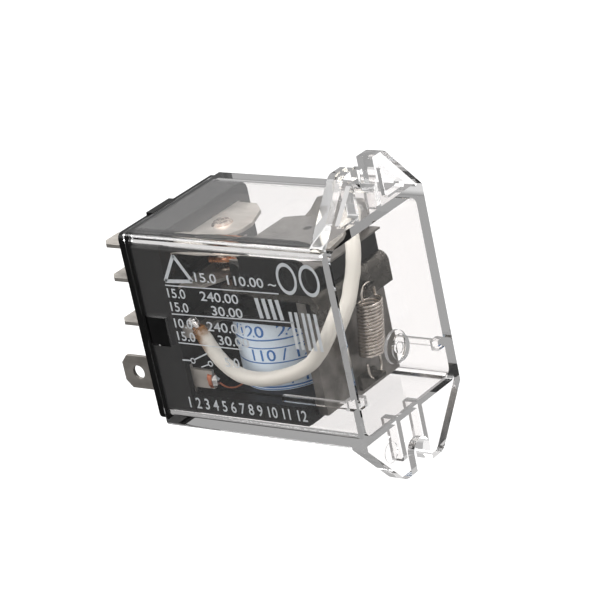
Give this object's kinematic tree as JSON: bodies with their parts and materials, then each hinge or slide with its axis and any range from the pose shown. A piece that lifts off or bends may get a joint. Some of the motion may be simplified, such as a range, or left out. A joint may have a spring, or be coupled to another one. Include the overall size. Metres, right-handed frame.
{
  "type": "plug in relay",
  "caption": "Plug in power relay with a changeover contact and a sprung armature in a clear case that carries a screw flange.",
  "frame": {"origin": "centre of the mounting face, the closed flanged end of the case", "axes": "+X out of the mounting face, +Z along the flange from screw notch to screw notch, the contacts' side up, +Y across the case; the blades point along -X"},
  "size_m": [0.0409, 0.0216, 0.0426],
  "materials": {
    "clear_case": "clear moulded polycarbonate",
    "black_moulding": "semi gloss",
    "black_card": "semi gloss",
    "tinned_brass": "tin plated brass",
    "silver_contact": "silver alloy",
    "plated_steel": "zinc plated",
    "copper": "bare copper alloy",
    "enamelled_wire": "enamelled copper",
    "printed_tape": "printed polyester tape",
    "solder": "bright solder",
    "spring_wire": "bright spring wire",
    "white_sleeve": "cream white insulation"
  },
  "bodies": {
    "frame": {"cover": "clear_case", "base": "black_moulding", "terminal_closed": "tinned_brass", "terminal_open": "tinned_brass", "terminal_common": "tinned_brass", "coil_terminal_front": "tinned_brass", "coil_terminal_rear": "tinned_brass", "fixed_contact_closed": "silver_contact", "fixed_contact_open": "silver_contact", "yoke": "plated_steel", "core": "plated_steel", "shading_ring": "copper", "bobbin": "black_moulding", "coil_winding": "enamelled_wire", "coil_tape": "printed_tape", "coil_lead_front": "enamelled_wire", "coil_lead_rear": "enamelled_wire", "coil_solder_front": "solder", "coil_solder_rear": "solder", "spring_anchor": "plated_steel", "return_spring": "spring_wire", "lead_wire": "white_sleeve", "lead_solder_common": "solder"},
    "armature_group": {"armature": "plated_steel", "insulating_card": "black_card", "contact_leaf": "copper", "spring_plate": "plated_steel", "moving_contact": "silver_contact", "lead_solder_plate": "solder"}
  },
  "joints": [
    {"name": "armature_tilt", "type": "hinge", "parent": "frame", "child": "armature_group", "pos_m": [-0.00765, 0, 0.0047], "axis": [0, -1, 0], "range_deg": [0, 2.4], "stiffness_Nm_per_rad": 0.003, "springref_deg": -20.05, "deforming": ["return_spring", "lead_wire"]}
  ]
}
